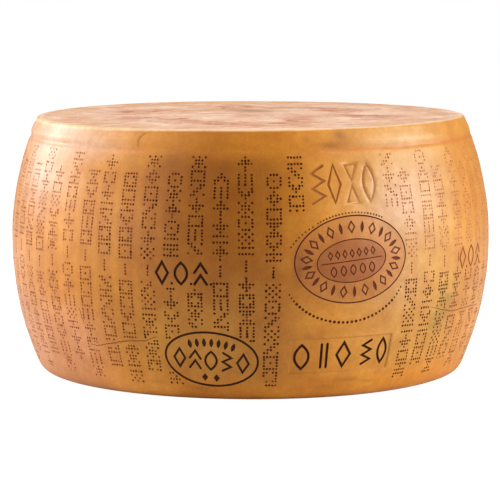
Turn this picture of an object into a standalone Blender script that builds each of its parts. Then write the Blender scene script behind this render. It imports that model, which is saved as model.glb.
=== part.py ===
"""A whole wheel of hard grating cheese, standing on its flat lower face.

The wheel is one solid. Its side swells between the two faces, as the cheese does when it settles in
its mould, and the mould leaves its marks there: a shallow band under the rim, the upright ridge where
the mould's strip meets, three oval ring grooves, a rectangular plate dent, four tall shallow figures and
two short rows of deep diamond marks. Angles go round the wheel from its front, which faces -Y, and
grow towards +X.
"""

import math

import bpy
import bmesh
from mathutils import Vector

# Driving dimensions, in metres and degrees
WIDEST_RADIUS = 0.225
WIDEST_HEIGHT = 0.1249
WHEEL_HEIGHT = 0.2383
RIM_RADIUS = 0.2004
FOOT_RADIUS = 0.1975
UPPER_FULLNESS = 1.954
LOWER_FULLNESS = 2.078
RIM_ROUNDING = 0.003
FOOT_ROUNDING = 0.0130
TOP_DOME = 0.0022
BAND_HEIGHT = 0.2205
BAND_STEP = 0.0007
BAND_SOFTNESS = 0.0025

# How finely the profile and its turning are divided
TURN_STEPS = 96
WALL_RINGS = 13
ROUNDING_STEPS = 4
BLOCK_ROW = 0.016
TOP_RINGS = (0.0, 0.35, 0.65, 0.86)

# How far the wheel is out of true: the rim's lean across the front, and two slow waves round the side
RIM_LEAN = 0.0018
WAVE_TWO = 0.0008
WAVE_FOUR = 0.0004

SEAM_ANGLE = 2.5
SEAM_WIDTH = 0.0022
SEAM_PROUD = 0.0005
SEAM_FOOT = 0.014

# Ring grooves: name, angle, height, half width, half height, tilt, depth
RINGS = (
    ("large_ring", 23.4, 0.1262, 0.0537, 0.0380, 3.0, 0.0010),
    ("inner_ring", 23.2, 0.1252, 0.0330, 0.0187, 5.0, 0.0008),
    ("lower_ring", -9.4, 0.0386, 0.0438, 0.0245, -4.0, 0.0010),
)
RING_POINTS = 44

PLATE_ANGLE = 22.2
PLATE_HEIGHT = 0.0410
PLATE_SIZE = (0.1010, 0.0320)
PLATE_DEPTH = 0.0007

FIGURE_ANGLES = (15.6, 19.6, 24.0, 28.4)
FIGURE_HEIGHT = 0.1915
FIGURE_SIZE = (0.0105, 0.0310)
FIGURE_DEPTH = 0.0009

# Deep diamond marks: the middle of each row, its height, and the marks' size and spacing
DIAMOND_ROWS = ((-15.3, 0.1153), (63.3, 0.1170))
DIAMOND_COUNT = 3
DIAMOND_PITCH = 4.5
DIAMOND_SIZE = (0.0100, 0.0180)
DIAMOND_DEPTH = 0.0016

RIND_COLOUR = (0.62, 0.30, 0.09, 1.0)
RIND_ROUGHNESS = 0.42


def side_radius(height):
    """The side's radius at a height, without the rim's and the foot's rounding."""
    if height > WIDEST_HEIGHT:
        share = (height - WIDEST_HEIGHT) / (WHEEL_HEIGHT - WIDEST_HEIGHT)
        return WIDEST_RADIUS - (WIDEST_RADIUS - RIM_RADIUS) * share**UPPER_FULLNESS
    share = (WIDEST_HEIGHT - height) / WIDEST_HEIGHT
    return WIDEST_RADIUS - (WIDEST_RADIUS - FOOT_RADIUS) * share**LOWER_FULLNESS


def out_of_true(point):
    """A point of the true turned wheel, moved to where the real, slightly lopsided one has it."""
    angle = math.atan2(point.x, -point.y)
    level = point.z / WHEEL_HEIGHT
    radius = math.hypot(point.x, point.y)
    share = radius / WIDEST_RADIUS
    wave = WAVE_TWO * math.sin(2 * angle) + WAVE_FOUR * math.sin(4 * angle)
    radius += wave * share
    lift = RIM_LEAN * math.sin(angle) * (1 + math.cos(angle)) / 2 * share * level**3
    return Vector((radius * math.sin(angle), -radius * math.cos(angle), point.z + lift))


def wall_point(angle, height, out):
    """The place on the side at an angle in radians and a height, moved out along the radius."""
    radius = side_radius(height) + out
    return out_of_true(Vector((radius * math.sin(angle), -radius * math.cos(angle), height)))


def collection_named(name):
    """A new collection under the scene's own."""
    made = bpy.data.collections.new(name)
    bpy.context.scene.collection.children.link(made)
    return made


def object_in(collection, name, mesh):
    """An object that shows a mesh, in one collection."""
    made = bpy.data.objects.new(name, mesh)
    collection.objects.link(made)
    return made


def evaluated_mesh(thing):
    """A copy of an object's mesh with its modifiers or its curve bevel worked out."""
    bpy.context.view_layer.update()
    graph = bpy.context.evaluated_depsgraph_get()
    return bpy.data.meshes.new_from_object(thing.evaluated_get(graph))


def side_lean(height):
    """The angle from upright at which the side leans in, towards the rim or towards the foot."""
    if height > WIDEST_HEIGHT:
        span = WHEEL_HEIGHT - WIDEST_HEIGHT
        share = (height - WIDEST_HEIGHT) / span
        slope = (WIDEST_RADIUS - RIM_RADIUS) * UPPER_FULLNESS * share ** (UPPER_FULLNESS - 1) / span
        return math.atan(slope)
    share = (WIDEST_HEIGHT - height) / WIDEST_HEIGHT
    drop = WIDEST_RADIUS - FOOT_RADIUS
    return math.atan(drop * LOWER_FULLNESS * share ** (LOWER_FULLNESS - 1) / WIDEST_HEIGHT)


def wheel_profile():
    """Radius and height down the outer side, from the middle of the top to the middle of the foot."""
    rim_lean = side_lean(WHEEL_HEIGHT - RIM_ROUNDING)
    rim_start = WHEEL_HEIGHT - RIM_ROUNDING * (1 - math.sin(rim_lean))
    rim_middle = side_radius(rim_start) - RIM_ROUNDING * math.cos(rim_lean)
    foot_lean = side_lean(FOOT_ROUNDING / 2)
    foot_start = FOOT_ROUNDING * (1 - math.sin(foot_lean))
    foot_middle = side_radius(foot_start) - FOOT_ROUNDING * math.cos(foot_lean)
    points = []
    for share in TOP_RINGS:
        points.append((rim_middle * share, WHEEL_HEIGHT + TOP_DOME * (1 - share**2)))
    for step in range(ROUNDING_STEPS):
        turn = math.pi / 2 + (rim_lean - math.pi / 2) * step / ROUNDING_STEPS
        across = rim_middle + RIM_ROUNDING * math.cos(turn)
        points.append((across, WHEEL_HEIGHT - RIM_ROUNDING * (1 - math.sin(turn))))
    points.append((side_radius(rim_start), rim_start))
    above_band = (WHEEL_HEIGHT + BAND_HEIGHT) / 2
    below_band = BAND_HEIGHT - BAND_SOFTNESS
    points.append((side_radius(above_band), above_band))
    points.append((side_radius(BAND_HEIGHT + BAND_SOFTNESS), BAND_HEIGHT + BAND_SOFTNESS))
    points.append((side_radius(BAND_HEIGHT) - BAND_STEP, BAND_HEIGHT))
    points.append((side_radius(below_band), below_band))
    for ring in range(1, WALL_RINGS + 1):
        height = below_band + (foot_start - below_band) * ring / WALL_RINGS
        points.append((side_radius(height), height))
    for step in range(1, ROUNDING_STEPS + 1):
        turn = -foot_lean + (foot_lean - math.pi / 2) * step / ROUNDING_STEPS
        across = foot_middle + FOOT_ROUNDING * math.cos(turn)
        points.append((across, FOOT_ROUNDING * (1 + math.sin(turn))))
    points.append((foot_middle / 2, 0.0))
    points.append((0.0, 0.0))
    return points


def turned_wheel(collection):
    """The wheel as the mould would leave it, turned from its profile and then put out of true."""
    outline = bmesh.new()
    row = [outline.verts.new((radius, 0.0, height)) for radius, height in wheel_profile()]
    for upper, lower in zip(row, row[1:]):
        outline.edges.new((upper, lower))
    profile = bpy.data.meshes.new("wheel_profile")
    outline.to_mesh(profile)
    outline.free()
    turning = object_in(collection, "turning", profile)
    screw = turning.modifiers.new("turn", "SCREW")
    screw.axis = "Z"
    screw.angle = math.tau
    screw.steps = TURN_STEPS
    screw.render_steps = TURN_STEPS
    screw.use_merge_vertices = True
    screw.merge_threshold = 0.0001
    wheel_mesh = evaluated_mesh(turning)
    bpy.data.objects.remove(turning)
    for vertex in wheel_mesh.vertices:
        vertex.co = out_of_true(vertex.co)
    wheel_mesh.name = "cheese_wheel"
    return object_in(collection, "cheese_wheel", wheel_mesh)


def wrap_on_wall(mesh, angle, height, tilt=0.0):
    """Bend a mesh made flat round the side: its x runs along the arc, y up, and z out of the rind."""
    turn = math.radians(tilt)
    for vertex in mesh.vertices:
        across = vertex.co.x * math.cos(turn) - vertex.co.y * math.sin(turn)
        up = vertex.co.x * math.sin(turn) + vertex.co.y * math.cos(turn)
        place = math.radians(angle) + across / WIDEST_RADIUS
        vertex.co = wall_point(place, height + up, vertex.co.z)
    mesh.update()


def tool_from(collection, name, mesh):
    """A cutter or a raised piece: kept out of the model, and drawn as wire."""
    tool = object_in(collection, name, mesh)
    tool.hide_render = True
    tool.display_type = "WIRE"
    return tool


def ring_mesh(half_width, half_height, depth):
    """A closed oval ring of round wire, as deep in the rind as its radius."""
    curve = bpy.data.curves.new("oval", "CURVE")
    curve.dimensions = "3D"
    curve.bevel_depth = depth
    curve.bevel_resolution = 1
    spline = curve.splines.new("POLY")
    spline.points.add(RING_POINTS - 1)
    for number, point in enumerate(spline.points):
        turn = math.tau * number / RING_POINTS
        point.co = (half_width * math.cos(turn), half_height * math.sin(turn), 0.0, 1.0)
    spline.use_cyclic_u = True
    holder = bpy.data.objects.new("oval", curve)
    bpy.context.scene.collection.objects.link(holder)
    mesh = evaluated_mesh(holder)
    bpy.data.objects.remove(holder)
    return mesh


def block_mesh(width, height, low, high, columns):
    """A block that spans a width and a height, from one depth to another, split along its width."""
    block = bmesh.new()
    bmesh.ops.create_cube(block, size=1.0)
    for vertex in block.verts:
        level = low if vertex.co.z < 0 else high
        vertex.co = (vertex.co.x * width, vertex.co.y * height, level)
    for number in range(1, columns):
        across = width * (number / columns - 0.5)
        everything = block.verts[:] + block.edges[:] + block.faces[:]
        bmesh.ops.bisect_plane(block, geom=everything, plane_co=(across, 0, 0), plane_no=(1, 0, 0))
    rows = max(2, round(height / BLOCK_ROW))
    for number in range(1, rows):
        up = height * (number / rows - 0.5)
        everything = block.verts[:] + block.edges[:] + block.faces[:]
        bmesh.ops.bisect_plane(block, geom=everything, plane_co=(0, up, 0), plane_no=(0, 1, 0))
    mesh = bpy.data.meshes.new("block")
    block.to_mesh(mesh)
    block.free()
    return mesh


def diamond_mesh(width, height, low, high, taper):
    """A four-cornered tapered stub between two depths, narrower at its low end by the taper."""
    stub = bmesh.new()
    bmesh.ops.create_cone(
        stub, cap_ends=True, segments=4, radius1=0.5 * taper, radius2=0.5, depth=1.0
    )
    for vertex in stub.verts:
        level = low if vertex.co.z < 0 else high
        vertex.co = (vertex.co.x * width, vertex.co.y * height, level)
    mesh = bpy.data.meshes.new("diamond")
    stub.to_mesh(mesh)
    stub.free()
    return mesh


def add_boolean(wheel, name, operation, tools):
    """Cut or join every tool of a collection with the wheel."""
    boolean = wheel.modifiers.new(name, "BOOLEAN")
    boolean.operation = operation
    boolean.operand_type = "COLLECTION"
    boolean.collection = tools
    boolean.solver = "EXACT"


def rind_material():
    """The rind's colour and shine."""
    material = bpy.data.materials.new("rind")
    material.use_nodes = True
    shader = material.node_tree.nodes["Principled BSDF"]
    shader.inputs["Base Color"].default_value = RIND_COLOUR
    shader.inputs["Roughness"].default_value = RIND_ROUGHNESS
    shader.inputs["Metallic"].default_value = 0.0
    material.diffuse_color = RIND_COLOUR
    return material


def add_raised_marks(tools):
    """The mould's upright ridge, which stands proud of the rind."""
    seam_top = BAND_HEIGHT - 0.004
    seam_length = seam_top - SEAM_FOOT
    seam = block_mesh(SEAM_WIDTH, seam_length, -0.003, SEAM_PROUD, 1)
    wrap_on_wall(seam, SEAM_ANGLE, SEAM_FOOT + seam_length / 2)
    tool_from(tools, "seam", seam)


def add_sunk_marks(tools):
    """The ring grooves, the plate dent, the tall figures and the two rows of diamonds, all sunk."""
    for name, angle, height, half_width, half_height, tilt, depth in RINGS:
        ring = ring_mesh(half_width, half_height, depth)
        wrap_on_wall(ring, angle, height, tilt)
        tool_from(tools, name, ring)
    plate = block_mesh(*PLATE_SIZE, -PLATE_DEPTH, 0.004, 8)
    wrap_on_wall(plate, PLATE_ANGLE, PLATE_HEIGHT)
    tool_from(tools, "plate", plate)
    for number, angle in enumerate(FIGURE_ANGLES):
        figure = diamond_mesh(*FIGURE_SIZE, -FIGURE_DEPTH, 0.003, 0.7)
        wrap_on_wall(figure, angle, FIGURE_HEIGHT)
        tool_from(tools, f"figure_{number + 1}", figure)
    for row, (middle, height) in enumerate(DIAMOND_ROWS):
        for number in range(DIAMOND_COUNT):
            angle = middle + DIAMOND_PITCH * (number - (DIAMOND_COUNT - 1) / 2)
            mark = diamond_mesh(*DIAMOND_SIZE, -DIAMOND_DEPTH, 0.003, 0.35)
            wrap_on_wall(mark, angle, height)
            tool_from(tools, f"diamond_{row + 1}_{number + 1}", mark)


for thing in list(bpy.data.objects):
    bpy.data.objects.remove(thing, do_unlink=True)

wheel_parts = collection_named("hard_cheese_wheel")
raised_tools = collection_named("raised_tools")
sunk_tools = collection_named("sunk_tools")

wheel = turned_wheel(wheel_parts)
wheel.data.materials.append(rind_material())
add_raised_marks(raised_tools)
add_sunk_marks(sunk_tools)
add_boolean(wheel, "raise marks", "UNION", raised_tools)
add_boolean(wheel, "press marks", "DIFFERENCE", sunk_tools)
wheel.data.shade_smooth()
wheel.data.set_sharp_from_angle(angle=math.radians(35))
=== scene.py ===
import math

import bpy
import numpy as np
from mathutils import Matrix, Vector
from mathutils.geometry import delaunay_2d_cdt


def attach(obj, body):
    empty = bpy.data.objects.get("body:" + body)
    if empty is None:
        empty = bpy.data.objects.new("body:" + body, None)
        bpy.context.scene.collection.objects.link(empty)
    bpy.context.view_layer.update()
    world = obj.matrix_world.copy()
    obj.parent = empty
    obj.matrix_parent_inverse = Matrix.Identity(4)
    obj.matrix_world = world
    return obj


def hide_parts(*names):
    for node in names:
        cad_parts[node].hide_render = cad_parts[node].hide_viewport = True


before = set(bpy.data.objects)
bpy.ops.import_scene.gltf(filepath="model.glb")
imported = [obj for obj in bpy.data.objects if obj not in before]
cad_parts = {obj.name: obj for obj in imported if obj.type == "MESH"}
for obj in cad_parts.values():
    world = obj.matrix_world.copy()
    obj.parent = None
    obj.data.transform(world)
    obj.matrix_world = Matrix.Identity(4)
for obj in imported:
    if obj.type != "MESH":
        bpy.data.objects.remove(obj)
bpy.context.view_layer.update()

# The view of the wheel. It is seen from its front, from 2.5 m away and from seven degrees above
# the level, through a long lens, so that the top face is a narrow oval.
VIEW_DISTANCE = 2.5328
VIEW_ELEVATION = math.radians(6.87)
VIEW_AIM = Vector((-0.0005, 0.0, 0.1097))
LENS_MM = 192.56

lens = bpy.data.cameras.new("wheel_camera")
lens.lens = LENS_MM
lens.sensor_width = 36.0
lens.clip_end = 100.0
camera = bpy.data.objects.new("wheel_camera", lens)
bpy.context.scene.collection.objects.link(camera)
camera.location = VIEW_AIM + VIEW_DISTANCE * Vector(
    (0.0, -math.cos(VIEW_ELEVATION), math.sin(VIEW_ELEVATION))
)
camera.rotation_euler = (VIEW_AIM - camera.location).to_track_quat("-Z", "Y").to_euler()
bpy.context.scene.camera = camera
bpy.context.scene.view_settings.view_transform = "Standard"


def linear(red, green, blue):
    """A colour given as it looks on a screen, 0 to 255, as the renderer's linear values."""
    shares = [value / 255 for value in (red, green, blue)]
    return tuple(s / 12.92 if s < 0.04045 else ((s + 0.055) / 1.055) ** 2.4 for s in shares) + (1.0,)


def add_node(tree, kind, **settings):
    """A shader node, with settings and socket values given by name, an underscore for each space."""
    made = tree.nodes.new("ShaderNode" + kind)
    for name, value in settings.items():
        socket = name.replace("_", " ")
        if socket in made.inputs:
            made.inputs[socket].default_value = value
        else:
            setattr(made, name, value)
    return made


# The studio. A white floor runs out to a white surround. At each side of the wheel stand a soft light
# beside or a little behind it, a wide low one and a high one, and one more hangs over it, so the front
# stays the darkest. The camera sees floor and surround white, while the wheel is lit by duller ones.
FLOOR_SIZE = 60.0
FLOOR_ALBEDO = 0.70
FLOOR_GLOW_SEEN = 0.96
FLOOR_SHADE_SEEN = 0.28
SURROUND_SEEN = 1.0
SURROUND_LIGHT = 0.16
WHITE = (1.0, 1.0, 1.0, 1.0)


def lit_and_seen(tree, output, lit, seen):
    """Light the wheel with one shader and show the camera another."""
    out = add_node(tree, output)
    mix = add_node(tree, "MixShader")
    rays = add_node(tree, "LightPath")
    tree.links.new(rays.outputs["Is Camera Ray"], mix.inputs[0])
    tree.links.new(lit.outputs[0], mix.inputs[1])
    tree.links.new(seen.outputs[0], mix.inputs[2])
    tree.links.new(mix.outputs[0], out.inputs["Surface"])


bpy.ops.mesh.primitive_plane_add(size=FLOOR_SIZE, location=(0.0, 0.0, -0.0004))
floor = bpy.context.object
floor.name = "studio_floor"
floor_paint = bpy.data.materials.new("studio_white")
floor_paint.use_nodes = True
paint = floor_paint.node_tree
paint.nodes.clear()
matt = add_node(paint, "BsdfDiffuse", Color=(FLOOR_ALBEDO, FLOOR_ALBEDO, FLOOR_ALBEDO, 1.0))
shade = add_node(paint, "BsdfDiffuse", Color=(FLOOR_SHADE_SEEN, FLOOR_SHADE_SEEN, FLOOR_SHADE_SEEN, 1.0))
glow = add_node(paint, "Emission", Strength=FLOOR_GLOW_SEEN)
glow_and_shade = add_node(paint, "AddShader")
paint.links.new(glow.outputs[0], glow_and_shade.inputs[0])
paint.links.new(shade.outputs[0], glow_and_shade.inputs[1])
lit_and_seen(paint, "OutputMaterial", matt, glow_and_shade)
floor.data.materials.append(floor_paint)

surround = bpy.data.worlds.new("studio_surround")
surround.use_nodes = True
sky = surround.node_tree
sky.nodes.clear()
sky_light = add_node(sky, "Background", Color=WHITE, Strength=SURROUND_LIGHT)
sky_seen = add_node(sky, "Background", Color=WHITE, Strength=SURROUND_SEEN)
lit_and_seen(sky, "OutputWorld", sky_light, sky_seen)
bpy.context.scene.world = surround


def soft_light(name, azimuth, elevation, distance, width, height, power):
    """A rectangular soft light that faces the wheel from an azimuth and an elevation in degrees."""
    box = bpy.data.lights.new(name, "AREA")
    box.shape = "RECTANGLE"
    box.size = width
    box.size_y = height
    box.energy = power
    holder = bpy.data.objects.new(name, box)
    bpy.context.scene.collection.objects.link(holder)
    turn = math.radians(azimuth)
    rise = math.radians(elevation)
    away = Vector((math.sin(turn) * math.cos(rise), -math.cos(turn) * math.cos(rise), math.sin(rise)))
    holder.location = VIEW_AIM + distance * away
    holder.rotation_euler = (-away).to_track_quat("-Z", "Y").to_euler()


soft_light("left_soft_light", -116, 16, 1.8, 0.7, 0.7, 13.0)
soft_light("left_low_light", -72, 8, 2.3, 2.4, 0.6, 17.0)
soft_light("left_fill_light", -68, 42, 2.0, 1.4, 1.0, 13.0)
soft_light("right_soft_light", 88, 18, 1.8, 0.8, 0.8, 16.0)
soft_light("right_low_light", 70, 6, 2.3, 2.0, 0.5, 12.0)
soft_light("right_fill_light", 60, 38, 2.0, 1.4, 1.0, 9.0)
soft_light("top_soft_light", 0, 84, 1.6, 1.0, 1.0, 11.5)

# The form of the rind. The wheel swelled in its mould between two flat faces, so the side is a
# turned barrel with a tight round rim, a softer foot and a shallow groove where the mould's band
# ended. It has settled a little out of true, and its surface rolls gently.
WHEEL_HEIGHT = 0.2383
WIDEST_RADIUS = 0.2247
WIDEST_HEIGHT = 0.1249
RIM_RADIUS = 0.2001
FOOT_RADIUS = 0.1972
UPPER_FULLNESS = 1.954
LOWER_FULLNESS = 2.078
RIM_ROUNDING = 0.003
FOOT_ROUNDING = 0.013
ARC_RADIUS = 0.225
SEAM_ANGLE = 2.5
BAND_HEIGHT = 0.2205
BAND_DEPTH = 0.0012
BAND_LIP = 0.0008
BAND_REACH_UP = 0.0030
BAND_REACH_DOWN = 0.0013
LIP_RISE = 0.0070
LIP_REACH = 0.0042
RIM_LEAN = 0.0018
WAVE_TWO = 0.0008
WAVE_FOUR = 0.0004
ROLL_SIZE = 0.000484
draws = np.random.default_rng(41)


def side_radius(height):
    above = np.clip((height - WIDEST_HEIGHT) / (WHEEL_HEIGHT - WIDEST_HEIGHT), 0, 1)
    below = np.clip((WIDEST_HEIGHT - height) / WIDEST_HEIGHT, 0, 1)
    upper = (WIDEST_RADIUS - RIM_RADIUS) * above**UPPER_FULLNESS
    return WIDEST_RADIUS - upper - (WIDEST_RADIUS - FOOT_RADIUS) * below**LOWER_FULLNESS


def side_lean(height):
    step = 0.0005
    return math.atan(abs(side_radius(height + step) - side_radius(height - step)) / (2 * step))


rim_lean = side_lean(WHEEL_HEIGHT - RIM_ROUNDING)
rim_start = WHEEL_HEIGHT - RIM_ROUNDING * (1 - math.sin(rim_lean))
rim_middle = side_radius(rim_start) - RIM_ROUNDING * math.cos(rim_lean)
foot_lean = side_lean(FOOT_ROUNDING / 2)
foot_start = FOOT_ROUNDING * (1 - math.sin(foot_lean))
foot_middle = side_radius(foot_start) - FOOT_ROUNDING * math.cos(foot_lean)

# The line that the side is turned from, finely sampled from the foot's flat up to the top's flat
foot_turns = np.linspace(-math.pi / 2, -foot_lean, 40)
wall_heights = np.linspace(foot_start, rim_start, 600)[1:-1]
rim_turns = np.linspace(rim_lean, math.pi / 2, 24)
line_radius = np.concatenate([
    foot_middle + FOOT_ROUNDING * np.cos(foot_turns),
    side_radius(wall_heights),
    rim_middle + RIM_ROUNDING * np.cos(rim_turns),
])
line_height = np.concatenate([
    FOOT_ROUNDING * (1 + np.sin(foot_turns)),
    wall_heights,
    WHEEL_HEIGHT - RIM_ROUNDING * (1 - np.sin(rim_turns)),
])
steps_up = np.hypot(np.diff(line_radius), np.diff(line_height))
line_up = np.concatenate([[0.0], np.cumsum(steps_up)])
line_facing = np.arctan2(-np.gradient(line_radius), np.gradient(line_height))
LINE_LENGTH = line_up[-1]
AROUND = math.tau * ARC_RADIUS


def up_at(height):
    """How far up the rind's line a height is."""
    return np.interp(height, line_height, line_up)


def side_of(along):
    """The angle in degrees from the wheel's front, -180 to 180, of a distance along the arc."""
    return (np.degrees(along / ARC_RADIUS) + SEAM_ANGLE + 180) % 360 - 180


def along_at(angle):
    """How far round the rind an angle in degrees is, from the seam and along the widest part."""
    return np.radians((angle - SEAM_ANGLE) % 360) * ARC_RADIUS


def smooth_step(value, low, high):
    share = np.clip((value - low) / (high - low), 0, 1)
    return share * share * (3 - 2 * share)


roll_waves = []
for _ in range(46):
    turns = int(draws.integers(2, 44))
    rise = draws.normal() * turns / 0.11
    size = 1.0 / (4 + turns)
    roll_waves.append((turns, rise, draws.uniform(0, math.tau), size))

PLATE_SPOT = (22.2, 0.0410, 1.2)
PLATE_ANGLE, PLATE_HEIGHT, _ = PLATE_SPOT
PLATE_WIDTH = 0.1010
PLATE_TALL = 0.0320
PLATE_DEPTH = 0.0010


def plate_share(along, height):
    """1 inside the rectangular dent that a plate left, 0 outside."""
    across = np.abs(along - along_at(PLATE_ANGLE))
    rise = np.abs(height - PLATE_HEIGHT)
    sides = 1 - smooth_step(across, PLATE_WIDTH / 2 - 0.0008, PLATE_WIDTH / 2 + 0.0004)
    ends = 1 - smooth_step(rise, PLATE_TALL / 2 - 0.0008, PLATE_TALL / 2 + 0.0004)
    return sides * ends


def rind_relief(along, height):
    """How far the smooth rind stands out: its slow rolling, the band's groove and the plate's dent.

    The groove and the lip over it fade in the middle of the front and partly at the right.
    """
    angle = along / ARC_RADIUS
    roll = np.zeros_like(angle)
    for turns, rise, start, size in roll_waves:
        roll += size * np.sin(turns * angle + rise * height + start)
    reach = np.where(height > BAND_HEIGHT, BAND_REACH_UP, BAND_REACH_DOWN)
    groove_share = np.exp(-(((height - BAND_HEIGHT) / reach) ** 2))
    lip_share = np.exp(-(((height - BAND_HEIGHT - LIP_RISE) / LIP_REACH) ** 2))
    side = side_of(along)
    strength = 0.15 + 0.85 * smooth_step(np.abs(side + 4.0), 18, 30)
    strength *= 1 - 0.6 * smooth_step(side, 48, 64) * (1 - smooth_step(side, 110, 150))
    relief = ROLL_SIZE * roll + strength * (BAND_LIP * lip_share - BAND_DEPTH * groove_share)
    return relief - PLATE_DEPTH * plate_share(along, height)


def rind_point(along, up, out):
    """The place of a point of the rind, given how far round and up it is and how far it stands out."""
    angle = along / ARC_RADIUS + math.radians(SEAM_ANGLE)
    radius = np.interp(up, line_up, line_radius)
    height = np.interp(up, line_up, line_height)
    facing = np.interp(up, line_up, line_facing)
    fade = smooth_step(up, 0.0, 0.02) * (1 - smooth_step(up, LINE_LENGTH - 0.005, LINE_LENGTH))
    out = out + fade * rind_relief(along, height)
    radius = radius + out * np.cos(facing)
    height = height + out * np.sin(facing)
    return out_of_true(angle, radius, height)


def out_of_true(angle, radius, height):
    """The lopsided wheel's place for a point of the true one."""
    share = radius / ARC_RADIUS
    level = height / WHEEL_HEIGHT
    radius = radius + share * (WAVE_TWO * np.sin(2 * angle) + WAVE_FOUR * np.sin(4 * angle))
    height = height + RIM_LEAN * np.sin(angle) * (1 + np.cos(angle)) / 2 * share * level**3
    return np.stack([radius * np.sin(angle), -radius * np.cos(angle), height], axis=1)


# The marks that the mould and the irons left in the rind: each is laid out flat, as metres along the
# arc and metres of height, and pressed in by a depth. A mark's rim lies at the surface, its floor is
# at the full depth, and the floor points carry the mark's tone, which picks its finish.
TONES = (
    "rind", "dot_faint", "dot_soft", "dot_brown", "dot_dark", "ink_dark", "ink_red", "bare_press", "crack",
)
mark_places = []
mark_outs = []
mark_tones = []
mark_edges = []
mark_total = 0
COVER_CELL = 0.0005
COVER_MARGIN = 0.0009
cover = np.zeros((int(AROUND / COVER_CELL) + 2, int(LINE_LENGTH / COVER_CELL) + 2), dtype=bool)


def cover_round(places, reach):
    """Keep the plain grid's points out of a reach round each of some places."""
    cells = int(math.ceil(reach / COVER_CELL))
    column = (places[:, 0] / COVER_CELL).astype(int)
    row = (places[:, 1] / COVER_CELL).astype(int)
    for right in range(-cells, cells + 1):
        for rise in range(-cells, cells + 1):
            if math.hypot(right, rise) * COVER_CELL <= reach:
                across = np.clip(column + right, 0, cover.shape[0] - 1)
                level = np.clip(row + rise, 0, cover.shape[1] - 1)
                cover[across, level] = True


def add_points(places, out, tone):
    """Add points, laid out by arc and by the rind's own line, and give back their numbers."""
    global mark_total
    mark_places.append(places)
    mark_outs.append(np.broadcast_to(out, len(places)).astype(float))
    mark_tones.append(np.full(len(places), TONES.index(tone)))
    numbers = np.arange(mark_total, mark_total + len(places))
    mark_total += len(places)
    return numbers


def add_chain(numbers, closed):
    """Hold the points of a line together as edges of the mesh."""
    following = np.roll(numbers, -1)
    pairs = np.stack([numbers, following], axis=1)
    mark_edges.append(pairs if closed else pairs[:-1])


def on_line(path):
    """A path in arc and height, as arc and distance up the rind's line."""
    return np.stack([path[:, 0], up_at(path[:, 1])], axis=1)


def beside(path, distance, closed):
    """The path moved to its left by a distance, with its corners kept sharp."""
    ahead = np.roll(path, -1, axis=0) - path
    if not closed:
        ahead[-1] = ahead[-2]
    ahead /= np.maximum(np.hypot(ahead[:, 0], ahead[:, 1]), 1e-9)[:, None]
    behind = np.roll(ahead, 1, axis=0)
    if not closed:
        behind[0] = ahead[0]
    left_ahead = np.stack([-ahead[:, 1], ahead[:, 0]], axis=1)
    left_behind = np.stack([-behind[:, 1], behind[:, 0]], axis=1)
    joined = left_ahead + left_behind
    spread = np.maximum((joined * left_ahead).sum(axis=1), 0.45)[:, None]
    return path + distance * joined / spread


def press_line(path, half_width, out, tone, closed=False):
    """Press a line along a path, with one half width for the whole line or one for each point."""
    path = np.asarray(path, dtype=float)
    half = np.broadcast_to(half_width, len(path))[:, None]
    if closed:
        for share, level, name in ((1, 0.0, "rind"), (-1, 0.0, "rind"), (0.5, out, tone), (-0.5, out, tone)):
            chain = add_points(on_line(beside(path, half * share, True)), level, name)
            add_chain(chain, True)
    else:
        start = path[0] - path[1]
        start *= 1 / np.hypot(*start)
        end = path[-1] - path[-2]
        end *= 1 / np.hypot(*end)
        for share, level, name in ((1, 0.0, "rind"), (0.5, out, tone)):
            left = beside(path, half * share, False)
            right = beside(path, -half * share, False)[::-1]
            tip = (path[-1] + end * half[-1] * share)[None]
            tail = (path[0] + start * half[0] * share)[None]
            chain = add_points(on_line(np.concatenate([left, tip, right, tail])), level, name)
            add_chain(chain, True)
    count = max(2, int(np.hypot(*np.diff(path, axis=0).T).sum() / COVER_CELL))
    ends = np.concatenate([path, path[:1]]) if closed else path
    reach_along = np.concatenate([[0], np.cumsum(np.hypot(*np.diff(ends, axis=0).T))])
    spots = np.linspace(0, reach_along[-1], count)
    dense = np.stack([np.interp(spots, reach_along, ends[:, axis]) for axis in (0, 1)], axis=1)
    cover_round(on_line(dense), half.max() + COVER_MARGIN)


def press_patch(outline, inset, out, tone):
    """Press a filled shape, whose wall slopes in by an inset to its floor."""
    outline = np.asarray(outline, dtype=float)
    turn = np.roll(outline, -1, axis=0) - outline
    area = (outline[:, 0] * turn[:, 1] - outline[:, 1] * turn[:, 0]).sum()
    inwards = inset if area > 0 else -inset
    add_chain(add_points(on_line(outline), 0.0, "rind"), True)
    add_chain(add_points(on_line(beside(outline, inwards, True)), out, tone), True)
    middle = outline.mean(axis=0)
    for share in np.linspace(0, 1, 24):
        cover_round(on_line(middle + (outline - middle) * share), COVER_MARGIN)


def turned_by(shape, tilt):
    """A shape turned about its own middle by a tilt in degrees."""
    turn = math.radians(tilt)
    shape = np.asarray(shape, dtype=float)
    across = shape[:, 0] * math.cos(turn) - shape[:, 1] * math.sin(turn)
    rise = shape[:, 0] * math.sin(turn) + shape[:, 1] * math.cos(turn)
    return np.stack([across, rise], axis=1)


def turned_to(shape, angle, height, tilt=0.0):
    """A shape turned by a tilt and set down on the rind at an angle and a height."""
    return turned_by(shape, tilt) + (along_at(angle), height)


def circle(turns):
    """Places on a circle of radius 1, at some turns."""
    return np.stack([np.cos(turns), np.sin(turns)], axis=1)


def oval(half_width, half_height, count):
    return circle(np.arange(count) * math.tau / count) * (half_width, half_height)


def leaf(width, height, count=5):
    """A pointed lens shape, upright."""
    share = np.linspace(-1, 1, count * 2 + 1)
    right = np.stack([width / 2 * (1 - share**2), share * height / 2], axis=1)
    left = np.stack([-width / 2 * (1 - share**2), share * height / 2], axis=1)[::-1]
    return np.concatenate([right, left[1:-1]])


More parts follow.
